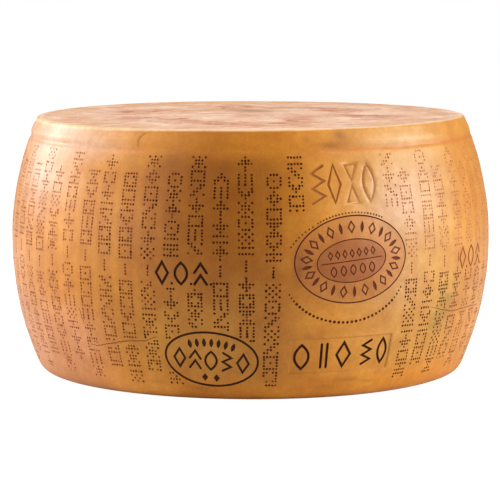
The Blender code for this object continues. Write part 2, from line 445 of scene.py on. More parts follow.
def lozenge(width, height):
    return np.array([(0, -height / 2), (width / 2, 0), (0, height / 2), (-width / 2, 0)], dtype=float)


def tall_ornament(kind, width, height):
    """The strokes of one tall ornament about its own middle: each is a path and whether it closes."""
    right = width / 2
    top = height / 2
    if kind == "lozenge":
        return [(lozenge(width, height), True)]
    if kind == "leaf":
        return [(leaf(width, height), True)]
    if kind == "glass":
        upper = [(-right, top), (right, top), (0, top * 0.14)]
        lower = [(right, -top), (-right, -top), (0, -top * 0.14)]
        return [(upper, True), (lower, True)]
    if kind == "chevrons":
        lower = [(-right, -top), (0, -top * 0.12), (right, -top)]
        upper = [(-right, top * 0.08), (0, top * 0.96), (right, top * 0.08)]
        return [(lower, False), (upper, False)]
    if kind == "bars":
        return [([(across, -top), (across, top)], False) for across in (-right * 0.6, right * 0.6)]
    strokes = round(2 * height / width)
    bends = [(right * (1 if n % 2 else -1), -top + height * n / strokes) for n in range(strokes + 1)]
    return [(bends, False)]


def press_ornament(kind, size, shift, spot, half_width, out, tone):
    """Press a tall ornament, moved by a shift from a spot, which is an angle, a height and a tilt."""
    for path, closed in tall_ornament(kind, *size):
        press_line(turned_to(np.asarray(path) + shift, *spot), half_width, out, tone, closed)


# The round seal: two oval rings pressed with a hot iron, a garland of leaves and lozenges between
# them, and inside a bar with small lozenges above it and leaves below.
SEAL_SPOT = (23.4, 0.1262, 3.0)
SEAL_HALF = (0.0537, 0.0380)
HUB_SPOT = (23.2, 0.1252, 5.0)
HUB_HALF = (0.0330, 0.0187)
GARLAND_COUNT = 26

press_line(turned_to(oval(*SEAL_HALF, 110), *SEAL_SPOT), 0.00062, -0.0008, "ink_red", True)
press_line(turned_to(oval(*HUB_HALF, 72), *HUB_SPOT), 0.00050, -0.0006, "ink_red", True)
garland_half = np.add(SEAL_HALF, HUB_HALF) / 2
for number in range(GARLAND_COUNT):
    turn = math.tau * (number + 0.5) / GARLAND_COUNT
    place = garland_half * (math.cos(turn), math.sin(turn))
    facing = math.degrees(math.atan2(place[1] / garland_half[1] ** 2, place[0] / garland_half[0] ** 2))
    shape = leaf(0.0034, 0.0106) if number % 2 else lozenge(0.0060, 0.0096)
    shape = turned_to(turned_by(shape, facing - 90) + place, *SEAL_SPOT)
    if number % 2:
        press_patch(shape, 0.00045, -0.0006, "ink_red")
    else:
        press_line(shape, 0.00070, -0.0005, "ink_red", True)

hub_bar = [(-0.0290, 0.0), (-0.0100, 0.0), (0.0100, 0.0), (0.0290, 0.0)]
press_line(turned_to(hub_bar, *HUB_SPOT), 0.00048, -0.0006, "ink_red")
for number in range(-3, 4):
    shift = (number * 0.0068, 0.0066)
    press_ornament("lozenge", (0.0040, 0.0066), shift, HUB_SPOT, 0.00052, -0.0006, "ink_red")
for number in range(-2, 3):
    shift = (number * 0.0092, -0.0078)
    press_ornament("leaf", (0.0050, 0.0086), shift, HUB_SPOT, 0.00058, -0.0006, "ink_red")

# The lower oval stamp: one ring, a row of leaves on its upper arc, five tall ornaments and two
# small lozenges, all burnt in darker than the seal.
STAMP_SPOT = (-9.4, 0.0386, -4.0)
STAMP_HALF = (0.0438, 0.0245)

press_line(turned_to(oval(*STAMP_HALF, 96), *STAMP_SPOT), 0.00100, -0.0009, "ink_dark", True)
for number in range(-3, 4):
    shape = turned_by(leaf(0.0038, 0.0084), -number * 6.0) + (number * 0.0067, 0.0153 - 0.0003 * number**2)
    press_patch(turned_to(shape, *STAMP_SPOT), 0.0004, -0.0008, "ink_dark")
for number, kind in enumerate(("lozenge", "chevrons", "leaf", "wave", "lozenge")):
    size = (0.0080 if kind == "wave" else 0.0108, 0.0166)
    press_ornament(kind, size, ((number - 2) * 0.0150, -0.0012), STAMP_SPOT, 0.00105, -0.0009, "ink_dark")
for across in (-0.0056, 0.0056):
    shape = lozenge(0.0062, 0.0074) + (across, -0.0170)
    press_patch(turned_to(shape, *STAMP_SPOT), 0.0004, -0.0008, "ink_dark")

# The bold rows: a lozenge, a leaf and a pair of chevrons, each with a stop after it, cut deep by the
# mould's strip, once at the front and once, more faintly, at the right.
BOLD_ROWS = (((-15.3, 0.1153), 0.00118, "ink_dark"), ((63.3, 0.1170), 0.00085, "dot_brown"))
BOLD_PITCH = 0.0177
for spot, half_width, tone in BOLD_ROWS:
    for number, kind in enumerate(("lozenge", "leaf", "chevrons")):
        across = (number - 1) * BOLD_PITCH
        press_ornament(kind, (0.0112, 0.0188), (across - 0.0014, 0.0), spot, half_width, -0.0012, tone)
        stop = oval(0.0012, 0.0012, 8) + (across + 0.0078, -0.0090)
        press_patch(turned_to(stop, *spot), 0.0004, -0.0011, tone)

# The rectangular plate's dent holds five tall ornaments, burnt nearly black: each has a kind, a place
# across the plate and a width.
PLATE_MARKS = (
    ("leaf", -0.0398, 0.0135), ("bars", -0.0182, 0.0090), ("lozenge", 0.0010, 0.0135),
    ("wave", 0.0250, 0.0090), ("leaf", 0.0420, 0.0090),
)
for kind, across, width in PLATE_MARKS:
    press_ornament(kind, (width, 0.0220), (across, 0.0), PLATE_SPOT, 0.00122, -0.0012, "ink_dark")

# Four tall shallow figures above the seal. They are barely burnt, or not at all, so they show mostly by
# their edges.
FIGURE_HEIGHT = 0.1915
FIGURES = (
    ("wave", 15.6, "bare_press"), ("lozenge", 19.6, "bare_press"),
    ("glass", 24.0, "rind"), ("leaf", 28.4, "rind"),
)
for kind, angle, tone in FIGURES:
    press_ornament(kind, (0.0118, 0.0322), (0.0, 0.0), (angle, FIGURE_HEIGHT), 0.0013, -0.0014, tone)

# Cracks where the drying rind pulled apart: each one's route as angles and heights, its half width at
# the middle, its depth and its tone.
CRACKS = (
    (((-42.0, 0.0445), (-39.5, 0.0440), (-35.4, 0.0474), (-31.0, 0.0512), (-28.0, 0.0521), (-25.4, 0.0528),
      (-22.3, 0.0573)), 0.00042, -0.0008, "crack"),
    (((46.6, 0.0768), (50.4, 0.0729), (55.3, 0.0694), (59.9, 0.0695), (66.8, 0.0688), (73.2, 0.0670)),
     0.00040, -0.0008, "crack"),
    (((-43.9, 0.0778), (-43.3, 0.0717), (-42.8, 0.0631)), 0.00036, -0.0008, "crack"),
    (((-27.2, 0.2345), (-28.3, 0.2318), (-28.8, 0.2285), (-28.5, 0.2240)), 0.00085, -0.0005, "rind"),
)
crack_places = []
for route, half_width, out, tone in CRACKS:
    ends = np.array([(along_at(angle), height) for angle, height in route])
    reach = np.concatenate([[0], np.cumsum(np.hypot(*np.diff(ends, axis=0).T))])
    spots = np.linspace(0, reach[-1], max(4, int(reach[-1] / 0.0022)))
    path = np.stack([np.interp(spots, reach, ends[:, axis]) for axis in (0, 1)], axis=1)
    path[1:-1] += draws.normal(0, 0.00022, (len(path) - 2, 2))
    crack_places.append(path)
    taper = 0.28 + 0.72 * np.sin(np.linspace(0.05, math.pi - 0.05, len(path))) ** 0.6
    press_line(path, half_width * taper, out, tone)

# The dots. The mould's strip is set with pins, so the rind has upright columns of small pits, five
# across, in which plain ornaments follow one another; the columns start at two heights in turn.
DOT_PITCH = 0.00296
DOT_RISE = 0.00275
ORNAMENT_GAP = 0.0009
DOT_RADIUS = 0.00112
DOT_DEPTH = 0.0009
COLUMN_FIRST = 4.86
COLUMN_STEP = 5.7168
COLUMN_COUNT = 58
SHORT_COLUMNS = (10.45, 34.05)
ORNAMENTS = [drawn.split() for drawn in (
    "..#.. .###. ##.## .###. ..#..", ".###. #...# #.#.# #...# .###.", "##### #...# #.#.# #...# #####",
    "##### ##.## #...# ##.## #####", "##### .###. ..#.. .###. #####", "#.#.# .#.#. #.#.# .#.#. #.#.#",
    "..#.. .###. ##### ..#.. ..#..", "..#.. ..#.. ##### .###. ..#..", "#.#.# .#.#. #.#.# .#.#.",
    "..#.. .###. ##.## #...#", "#...# ##.## .###. ..#..", "##..# .##.. ..##. #..##",
    "#..## ..##. .##.. ##..#", "#.#.# #.#.# #.#.# #.#.#", "##### ..... #####",
    "#.#.# .###. .###. #.#.#", "##.## #...# #...# ##.##", "##### #...# #...# #####", "##### ..#.. #####",
)]
DASH = "..... ..#.. ..#.. ..#.. ..#.. .....".split()
DASH_HEIGHT = 0.122


def column_rows(top, bottom):
    """The dot rows of one column and their heights: ornaments in a drawn order, and a dash half way."""
    laid_rows = []
    height = top
    last = -1
    dash_due = top > DASH_HEIGHT > bottom
    while height > bottom:
        pick = int(draws.integers(0, len(ORNAMENTS)))
        if pick == last:
            continue
        last = pick
        pattern = ORNAMENTS[pick]
        if dash_due and height - DOT_RISE * len(pattern) < DASH_HEIGHT:
            pattern = DASH
            dash_due = False
        for line in pattern:
            laid_rows.append((height, line))
            height -= DOT_RISE
        height -= ORNAMENT_GAP
    return [(height, line) for height, line in laid_rows if height > bottom]


dot_angles = []
dot_heights = []
for number in range(COLUMN_COUNT + len(SHORT_COLUMNS)):
    short = number >= COLUMN_COUNT
    if short:
        angle = SHORT_COLUMNS[number - COLUMN_COUNT]
        top, bottom = 0.2150, 0.1690
    else:
        angle = COLUMN_FIRST - COLUMN_STEP * number
        from_stamps = min(number, COLUMN_COUNT - 1 - number)
        top, bottom = ((0.2010, 0.0130), (0.2150, 0.0255))[from_stamps % 2]
    angle += draws.uniform(-0.2, 0.2)
    top += draws.uniform(-0.0010, 0.0010)
    lean = draws.normal(0, 3.0)
    for height, line in column_rows(top, bottom):
        for place, mark in enumerate(line):
            if mark == "#":
                turn = lean * (height - 0.115) + math.degrees((place - 2) * DOT_PITCH / ARC_RADIUS)
                dot_angles.append(angle + turn)
                dot_heights.append(height)
column_dots = np.stack([along_at(np.array(dot_angles)), np.array(dot_heights)], axis=1)
column_dots += draws.normal(0, 0.00010, column_dots.shape)

# The dotted oval round the seal, its dots larger at the bottom.
HALO_CENTRE = (along_at(22.2), 0.1170)
HALO_HALF = (0.0590, 0.0462)
HALO_STEP = 0.0038 / 0.053
LINE_CLEAR = 0.0024
halo_dots = circle(np.arange(0, math.tau, HALO_STEP)) * HALO_HALF + HALO_CENTRE


def oval_share(places, spot, half):
    """How far out each place is in an oval, given by its angle, height and tilt: below 1 inside it."""
    angle, height, tilt = spot
    across = (places[:, 0] - along_at(angle) + AROUND / 2) % AROUND - AROUND / 2
    flat, upright = turned_by(np.stack([across, places[:, 1] - height], axis=1), -tilt).T
    return np.hypot(flat / half[0], upright / half[1])


def clear_of_marks(places):
    """True for the dots that the stamps, the bold rows, the cracks and the seam leave room for."""
    clear = oval_share(places, STAMP_SPOT, np.add(STAMP_HALF, 0.0032)) > 1
    clear &= oval_share(places, SEAL_SPOT, np.add(SEAL_HALF, 0.0022)) > 1
    for (angle, height), _, _ in BOLD_ROWS:
        across = np.abs((places[:, 0] - along_at(angle) + AROUND / 2) % AROUND - AROUND / 2)
        clear &= (across > 0.0275) | (np.abs(places[:, 1] - height) > 0.0122)
    for path in crack_places:
        for spot in path:
            clear &= np.hypot(*(places - spot).T) > LINE_CLEAR
    return clear & (np.minimum(places[:, 0], AROUND - places[:, 0]) > LINE_CLEAR)


column_dots = column_dots[clear_of_marks(column_dots)]
halo_dots = halo_dots[clear_of_marks(halo_dots)]
halo_dots = halo_dots[(halo_dots[:, 1] < 0.100) | (halo_dots[:, 1] > 0.138)]
crown = circle(np.radians(np.arange(56, 124, 3.2))) * np.add(SEAL_HALF, 0.0026)
halo_dots = np.concatenate([halo_dots, turned_to(crown, *SEAL_SPOT)])
dots = np.concatenate([column_dots, halo_dots])
is_halo = np.arange(len(dots)) >= len(column_dots)
dot_side = side_of(dots[:, 0])

# The dots are burnt dark at the front and low down at the right. They turn softer and paler to the left and
# high up at the right, and a little so at the far right, partly where the rind was brushed most and partly as
# a painted highlight where the sheen washes them out.
brushed_and_sheen_left = smooth_step(-dot_side, 14, 52) * smooth_step(dot_side, -135, -95)
brushed_and_sheen_right = smooth_step(dot_side, 18, 32) * smooth_step(dots[:, 1], 0.080, 0.136)
brushed_and_sheen_right = np.maximum(brushed_and_sheen_right, 0.55 * smooth_step(dot_side, 44, 62))
brushed_and_sheen_right *= smooth_step(-dot_side, -130, -95)
high_up = smooth_step(dots[:, 1], 0.12, 0.20)
burn = 0.95 - 0.52 * brushed_and_sheen_left - 0.22 * brushed_and_sheen_left * high_up - 0.78 * brushed_and_sheen_right
burn += draws.normal(0, 0.09, len(dots)) - 0.13 * np.exp(-(((dot_side + 25) / 9) ** 2))
dot_tone = np.full(len(dots), TONES.index("dot_faint"))
for tone, least in (("dot_soft", 0.26), ("dot_brown", 0.50), ("dot_dark", 0.74)):
    dot_tone[burn > least] = TONES.index(tone)
dot_tone[is_halo & (dots[:, 1] < 0.12)] = TONES.index("dot_dark")
dot_tone[is_halo & (dots[:, 1] > 0.12)] = TONES.index("dot_brown")
dot_radius = DOT_RADIUS * (1 + draws.normal(0, 0.07, len(dots)))
at_front = 1.0 + 0.07 * np.exp(-((dot_side / 14) ** 2))
dot_radius *= np.where(is_halo, 0.85 + 0.40 * (dots[:, 1] < 0.09), at_front)
dot_depth = DOT_DEPTH * (0.6 + 0.4 * burn) * (1 + draws.normal(0, 0.10, len(dots)))
dot_places = on_line(dots)
DOT_SIDES = 6
DOT_FLOOR = 0.74
ring_unit = circle(np.arange(DOT_SIDES) * math.tau / DOT_SIDES)
dot_rim = dot_places[:, None] + dot_radius[:, None, None] * ring_unit
dot_floor = dot_places[:, None] + DOT_FLOOR * dot_radius[:, None, None] * ring_unit
add_points(dot_rim.reshape(-1, 2), 0.0, "rind")
add_points(dot_floor.reshape(-1, 2), np.repeat(-dot_depth, DOT_SIDES), "rind")
mark_tones[-1] = np.repeat(dot_tone, DOT_SIDES)
cover_round(dot_places, DOT_RADIUS + COVER_MARGIN)

# The mould's seam, a thin upright ridge. It is also where the laid-out rind meets itself, so its
# crest is laid out twice, at both ends. Three more upright lines part the rind into panels.
SEAM_HALF = 0.0011
SEAM_PROUD = 0.0008
PANEL_ANGLES = (92.16, 184.02, 270.13)
PANEL_CLEAR = 0.0012
line_rows = np.concatenate([
    np.linspace(0, 0.022, 12)[:-1],
    np.linspace(0.022, LINE_LENGTH - 0.0052, 84),
    np.linspace(LINE_LENGTH - 0.0052, LINE_LENGTH, 7)[1:],
])
row_heights = np.interp(line_rows, line_up, line_height)
crest = SEAM_PROUD * smooth_step(row_heights, 0.008, 0.020) * (1 - smooth_step(row_heights, 0.205, 0.219))
crest *= 0.75 + 0.25 * np.sin(row_heights * 190)


def upright_line(along, out, reach=0.0):
    """Hold a line of points up the rind, and keep the plain grid's points out of a reach of it."""
    numbers = add_points(np.stack([np.full(len(line_rows), along), line_rows], axis=1), out, "rind")
    add_chain(numbers, False)
    if reach:
        cover_round(np.stack([np.full(400, along), np.linspace(0, LINE_LENGTH, 400)], axis=1), reach)
    return numbers


first_line = upright_line(0.0, crest, LINE_CLEAR)
upright_line(SEAM_HALF, 0.0)
upright_line(AROUND - SEAM_HALF, 0.0)
last_line = upright_line(AROUND, crest, LINE_CLEAR)
panel_starts = [0.0]
for angle in PANEL_ANGLES:
    panel_starts.append(float(along_at(angle)))
    upright_line(panel_starts[-1], 0.0, PANEL_CLEAR)
panel_starts.append(AROUND)

# The plain rind between the marks: rows of points, closer at the foot, the band and the rim.
RING_COUNT = 480
rows = [(up, 300) for up in np.linspace(0.0018, 0.0220, 12)]
band_low = up_at(BAND_HEIGHT - 0.0052)
band_high = up_at(BAND_HEIGHT + 0.0078)
rows += [(up, 320) for up in np.arange(0.0250, band_low - 0.0015, 0.0044)]
rows += [(up, 380) for up in np.linspace(band_low, band_high, 14)]
rim_low = LINE_LENGTH - 0.0066
rows += [(up, 380) for up in np.linspace(band_high + 0.0010, rim_low - 0.0008, 3)]
rows += [(up, RING_COUNT) for up in np.linspace(rim_low, LINE_LENGTH - 0.0005, 12)]
plain = []
for number, (up, count) in enumerate(rows):
    offset = 0.0 if up >= rim_low else 0.25 + 0.5 * (number % 2)
    along = (np.arange(count) + offset) * AROUND / count
    plain.append(np.stack([along, np.full(count, up)], axis=1))
plate_middle = (along_at(PLATE_ANGLE), PLATE_HEIGHT)
edge = np.linspace(-1, 1, 60)
for off in (-0.0010, -0.0004, 0.0004):
    half = (PLATE_WIDTH / 2 + off, PLATE_TALL / 2 + off)
    for side in (-1, 1):
        for unit in ((edge, np.full(60, side)), (np.full(60, side), edge)):
            plain.append(on_line(np.stack(unit, axis=1) * half + plate_middle))
plain = np.concatenate(plain)
cells = (plain / COVER_CELL).astype(int)
plain = plain[~cover[cells[:, 0], cells[:, 1]]]
add_points(plain, 0.0, "rind")
ring_along = np.arange(1, RING_COUNT) * AROUND / RING_COUNT
for start in panel_starts[1:-1]:
    ring_along = ring_along[np.abs(ring_along - start) > 0.0006]
for level in (0.0, LINE_LENGTH):
    add_points(np.stack([ring_along, np.full(len(ring_along), level)], axis=1), 0.0, "rind")

# One net of triangles over the laid-out rind, which is then bent round the wheel and closed at the seam.
places = np.concatenate(mark_places)
outs = np.concatenate(mark_outs)
tones = np.concatenate(mark_tones)
edges = np.concatenate(mark_edges)
net = delaunay_2d_cdt([Vector(p) for p in places.tolist()], edges.tolist(), [], 0, 1e-8)
net_places = np.array([tuple(place) for place in net[0]])
net_faces = np.array(net[2])
from_laid = np.array([sources[0] if sources else -1 for sources in net[3]])
crossed = np.flatnonzero(from_laid < 0)
for point in crossed:
    gaps = np.hypot(*(places - net_places[point]).T)
    from_laid[point] = int(gaps.argmin())
net_outs = outs[from_laid]
net_tones = tones[from_laid]
across_x = net_places[net_faces]
turned = np.cross(across_x[:, 1] - across_x[:, 0], across_x[:, 2] - across_x[:, 0])
net_faces = net_faces[np.abs(turned) > 1e-13]
turned = turned[np.abs(turned) > 1e-13]
net_faces[turned < 0] = net_faces[turned < 0][:, ::-1]
laid_to_net = np.full(len(places), -1)
laid_to_net[from_laid] = np.arange(len(net_places))
side_points = rind_point(net_places[:, 0], net_places[:, 1], net_outs)
joined = np.arange(len(net_places))
joined[laid_to_net[last_line]] = laid_to_net[first_line]
face_tones = net_tones[net_faces].max(axis=1)
face_middles = net_places[net_faces].mean(axis=1)
side_faces = joined[net_faces]

# The two flat faces. Each is a disc of points that shares its outer ring with the side; the top is
# slightly domed and dimpled by the boards and cloths it dried on, the lower one is pressed flat.
TOP_DOME = 0.0020
TOP_GRID = 0.0036
FOOT_GRID = 0.0055


def disc_points(reach, step):
    """Points of a hexagonal grid within a reach of the middle, a little unsettled."""
    count = int(reach / step) + 2
    column, row = np.meshgrid(np.arange(-count, count + 1), np.arange(-count, count + 1))
    x = (column + 0.5 * (row % 2)).ravel() * step
    y = row.ravel() * step * math.sqrt(0.75)
    spots = np.stack([x, y], axis=1) + draws.normal(0, step * 0.08, (len(x), 2))
    return spots[np.hypot(x, y) < reach - step * 0.7]


def face_roll(spots, seed):
    """The slow unevenness of a flat face, between about -1 and 1."""
    own = np.random.default_rng(seed)
    roll = np.zeros(len(spots))
    for _ in range(40):
        length = own.uniform(0.012, 0.11)
        turn = own.uniform(0, math.tau)
        reach = spots[:, 0] * math.cos(turn) + spots[:, 1] * math.sin(turn)
        roll += length * np.sin(math.tau * reach / length + own.uniform(0, math.tau))
    return roll / 0.32


def flat_face(ring, step, seed, upper):
    """The points and faces of one flat face inside its ring of side points."""
    edge = side_points[ring]
    reach = np.hypot(edge[:, 0], edge[:, 1]).min()
    spots = disc_points(reach, step)
    laid = np.concatenate([edge[:, :2], spots])
    chain = np.arange(len(ring))
    bounds = np.stack([chain, np.roll(chain, -1)], axis=1)
    disc = delaunay_2d_cdt([Vector(p) for p in laid.tolist()], bounds.tolist(), [], 1, 1e-8)
    source = np.array([found[0] for found in disc[3]])
    share = np.hypot(spots[:, 0], spots[:, 1]) / reach
    fade = 1 - smooth_step(share, 0.93, 1.0)
    roll = face_roll(spots, seed)
    if upper:
        angle = np.arctan2(spots[:, 0], -spots[:, 1])
        lift = RIM_LEAN * np.sin(angle) * (1 + np.cos(angle)) / 2 * share * rim_middle / ARC_RADIUS
        height = WHEEL_HEIGHT + TOP_DOME * (1 - share**2) + lift + 0.00018 * fade * (roll - 1)
    else:
        height = 0.0004 * fade * (1 + roll).clip(0, 2) / 2
    new_points = np.column_stack([spots, height])
    faces = source[np.array(disc[2])]
    corner = laid[faces]
    turned = np.cross(corner[:, 1] - corner[:, 0], corner[:, 2] - corner[:, 0])
    flip = turned < 0 if upper else turned > 0
    faces[flip] = faces[flip][:, ::-1]
    return new_points, faces


def whole_ring(row):
    """The net's points on its lowest or highest row, in order round the wheel."""
    level = net_places[:, 1]
    on_row = np.flatnonzero(np.abs(level - row) < 1e-7)
    on_row = on_row[np.unique(joined[on_row], return_index=True)[1]]
    on_row = on_row[joined[on_row] == on_row]
    return on_row[np.argsort(net_places[on_row, 0])]


rim_order = whole_ring(LINE_LENGTH)
foot_order = whole_ring(0.0)
top_points, top_faces = flat_face(rim_order, TOP_GRID, 5, True)
low_points, low_faces = flat_face(foot_order, FOOT_GRID, 9, False)

# The whole skin as one closed net: the side's points, then the top's own, then the lower face's own.
side_count = len(side_points)
top_numbers = np.concatenate([rim_order, side_count + np.arange(len(top_points))])
low_start = side_count + len(top_points)
low_numbers = np.concatenate([foot_order, low_start + np.arange(len(low_points))])
points = np.concatenate([side_points, top_points, low_points])
faces = np.concatenate([side_faces, top_numbers[top_faces], low_numbers[low_faces]])
face_kind = np.concatenate([
    face_tones,
    np.full(len(top_faces), len(TONES)),
    np.full(len(low_faces), len(TONES) + 1),
])
sunk = (face_kind > 0) & (face_kind < len(TONES))
corner = points[faces]
face_normals = np.cross(corner[:, 1] - corner[:, 0], corner[:, 2] - corner[:, 0])


def point_normals(chosen):
    """Smooth normals at the points, from the chosen faces alone."""
    total = np.zeros((len(points), 3))
    for place in range(3):
        for axis in range(3):
            weights = face_normals[chosen, axis]
            total[:, axis] += np.bincount(faces[chosen, place], weights, len(points))
    length = np.linalg.norm(total, axis=1)
    return total / np.maximum(length, 1e-20)[:, None]


plain_normals = point_normals(~sunk)
sunk_normals = point_normals(sunk)
corner_normals = np.where(sunk[:, None, None], sunk_normals[faces], plain_normals[faces])


def finish_named(name, roughness):
    """A new material: it, its node tree, its Principled shader and the piece's own coordinates."""
    material = bpy.data.materials.new(name)
    material.use_nodes = True
    tree = material.node_tree
    shader = tree.nodes["Principled BSDF"]
    shader.inputs["Roughness"].default_value = roughness
    return material, tree, shader, add_node(tree, "TexCoord").outputs["Object"]


# The rind's own colour, with painted light and shade laid into it. Under one golden coat it is browner at the
# middle of the front, partly painted shade, and under the dots, pinker at the left and more orange at the
# right, both partly painted sheen, pale at the rim with a painted highlight, with painted sheen high at the
# sides and on the lip, painted shade in the band's groove, and amber at the foot.
GOLDEN = linear(226, 152, 50)
FRONT_BROWN_AND_SHADE = linear(163, 100, 13)
LEFT_ROSE_AND_SHEEN = linear(228, 159, 90)
RIGHT_AMBER_AND_SHEEN = linear(214, 168, 92)
RIM_PAINTED_HIGHLIGHT = linear(252, 220, 186)
LOW_GOLD = linear(206, 148, 54)
FOOT_AMBER = linear(230, 152, 44)
FOOT_LIGHT = linear(250, 180, 72)
SEAL_BROWN = linear(200, 128, 64)
SEAL_PAINTED_SHADOW = linear(128, 70, 46)
HUB_BROWN = linear(162, 88, 48)
COLUMN_BROWN = linear(190, 113, 36)
SCUFF_BROWN = linear(140, 80, 26)
GREEN_STAIN = linear(148, 140, 62)
SHEEN_PALE_PAINT = linear(238, 202, 184)
LIP_PAINTED_GLINT = linear(250, 218, 184)
LOW_ROSE = linear(226, 164, 130)
GROOVE_PAINTED_SHADE = linear(216, 130, 50)
SHEEN_PAINT = linear(236, 202, 184)


def blend(base, colour, share):
    share = np.clip(share, 0, 1)[:, None]
    return base * (1 - share) + np.array(colour) * share


def soft_spot(x, y, x_middle, y_middle, width, tall):
    """1 in the middle of a soft spot, fading to nothing beyond its width and height."""
    return np.exp(-(((x - x_middle) / width) ** 2) - ((y - y_middle) / tall) ** 2)


side_angle = side_of(net_places[:, 0])
side_height = np.interp(net_places[:, 1], line_up, line_height)
laid = np.stack([net_places[:, 0], side_height], axis=1)


def daubed(base, colour, spots, strength=1.0):
    """The rind's colours with soft spots of another: angle, height, width, tall and share of each."""
    for *spot, share in spots:
        base = blend(base, colour, share * strength * soft_spot(side_angle, side_height, *spot))
    return base


front = np.exp(-((np.abs(side_angle + 7.5) / 19.4) ** 3))
low_front = np.exp(-((np.abs(side_angle + 16) / 19) ** 3))
towards_left = smooth_step(side_angle, -120, -90)
left_side = smooth_step(side_angle, -150, -100)
tint = np.tile(np.array(GOLDEN), (side_count, 1))
# Pinker at the left: partly the rind's tone, partly painted sheen of the left lights.
tint = blend(tint, LEFT_ROSE_AND_SHEEN, 0.8 * smooth_step(-side_angle, 34, 72) * towards_left)
# The right's amber: partly the rind's tone, partly painted sheen of the right lights.
amber_share = 0.7 * smooth_step(side_angle, 8, 44) * smooth_step(140 - side_angle, 0, 30)
amber_share *= (1 - 0.60 * smooth_step(side_angle, 46, 68)) * smooth_step(side_height, -0.02, 0.06)
tint = blend(tint, RIGHT_AMBER_AND_SHEEN, amber_share)
column_gap = np.abs((side_angle - COLUMN_FIRST + COLUMN_STEP / 2) % COLUMN_STEP - COLUMN_STEP / 2)
in_columns = (1 - smooth_step(column_gap, 1.6, 2.6)) * smooth_step(side_height, 0.02, 0.04)
in_columns *= 1 - smooth_step(side_height, 0.195, 0.212)
in_columns[(side_angle > 7) & (side_angle < 36)] = 0
tint = blend(tint, COLUMN_BROWN, (0.15 + 0.32 * np.exp(-(((side_angle + 10) / 34) ** 2))) * in_columns)
# The browner front: partly the rind's own tone, partly painted shade of the front, which lies darker between
# the side lights.
tint = blend(tint, FRONT_BROWN_AND_SHADE, 0.95 * front * (1 - 0.66 * smooth_step(side_height, 0.205, 0.224)))
tint = blend(tint, LOW_GOLD, 0.85 * low_front * (1 - smooth_step(side_height, 0.050, 0.125)))
tint = blend(tint, FOOT_AMBER, 0.9 * (1 - 0.15 * front) * (1 - smooth_step(side_height, 0.004, 0.034)))
# Painted sheen: pale spots high at the right and the left, and lower at the right.
SHEEN_PAINT_SPOTS = (
    (36.0, 0.1720, 9.5, 0.0320, 0.62), (-61.0, 0.1940, 14.0, 0.0240, 0.60), (35.0, 0.1010, 8.0, 0.0250, 0.26),
)
tint = daubed(tint, SHEEN_PAINT, SHEEN_PAINT_SPOTS)
low_left = smooth_step(-side_angle, 28, 48) * towards_left * (1 - smooth_step(side_height, 0.05, 0.10))
tint = blend(tint, LOW_ROSE, 0.66 * low_left)
# A little painted sheen at the left of the foot.
tint = daubed(tint, SHEEN_PAINT, ((-29.0, 0.0100, 7.0, 0.0110, 0.14),))
tint = daubed(tint, FOOT_LIGHT, [(angle, 0.0100, 11.0, 0.0160, 0.5) for angle in (-29.0, 29.0)])
# Painted shade in the band's groove, to the left and right of the front.
groove = np.exp(-(((side_height - BAND_HEIGHT) / 0.0018) ** 2)) * smooth_step(np.abs(side_angle + 4), 16, 28)
tint = blend(tint, GROOVE_PAINTED_SHADE, 0.75 * groove)
# Painted sheen high on the left, from the band's groove up to the rim.
painted_sheen_rim = 0.82 * left_side * smooth_step(-side_angle, 26, 50) * smooth_step(side_height, 0.200, 0.222)
tint = blend(tint, SHEEN_PALE_PAINT, painted_sheen_rim * (1 - 0.4 * smooth_step(-side_angle, 56, 74)))
# A painted glint on the band's lip at the right.
tint = daubed(tint, LIP_PAINTED_GLINT, ((40.0, 0.2275, 9.0, 0.0045, 0.36),))
# A painted highlight along the rounded rim, widest at the left.
rim_drop = 0.0012 + 0.0026 * left_side * smooth_step(-side_angle, 10, 50)
tint = blend(tint, RIM_PAINTED_HIGHLIGHT, 0.9 * smooth_step(net_places[:, 1] - LINE_LENGTH + rim_drop, -0.0016, 0.0))
plate = plate_share(net_places[:, 0], side_height)
tint = blend(tint, SCUFF_BROWN, 1.7 * plate * (1 - plate))
for spot, half, low, colour, share in (
    (SEAL_SPOT, SEAL_HALF, 0.99, SEAL_BROWN, 0.62), (HUB_SPOT, HUB_HALF, 0.98, HUB_BROWN, 0.6),
):
    tint = blend(tint, colour, share * (1 - smooth_step(oval_share(laid, spot, half), low, 1.03)))
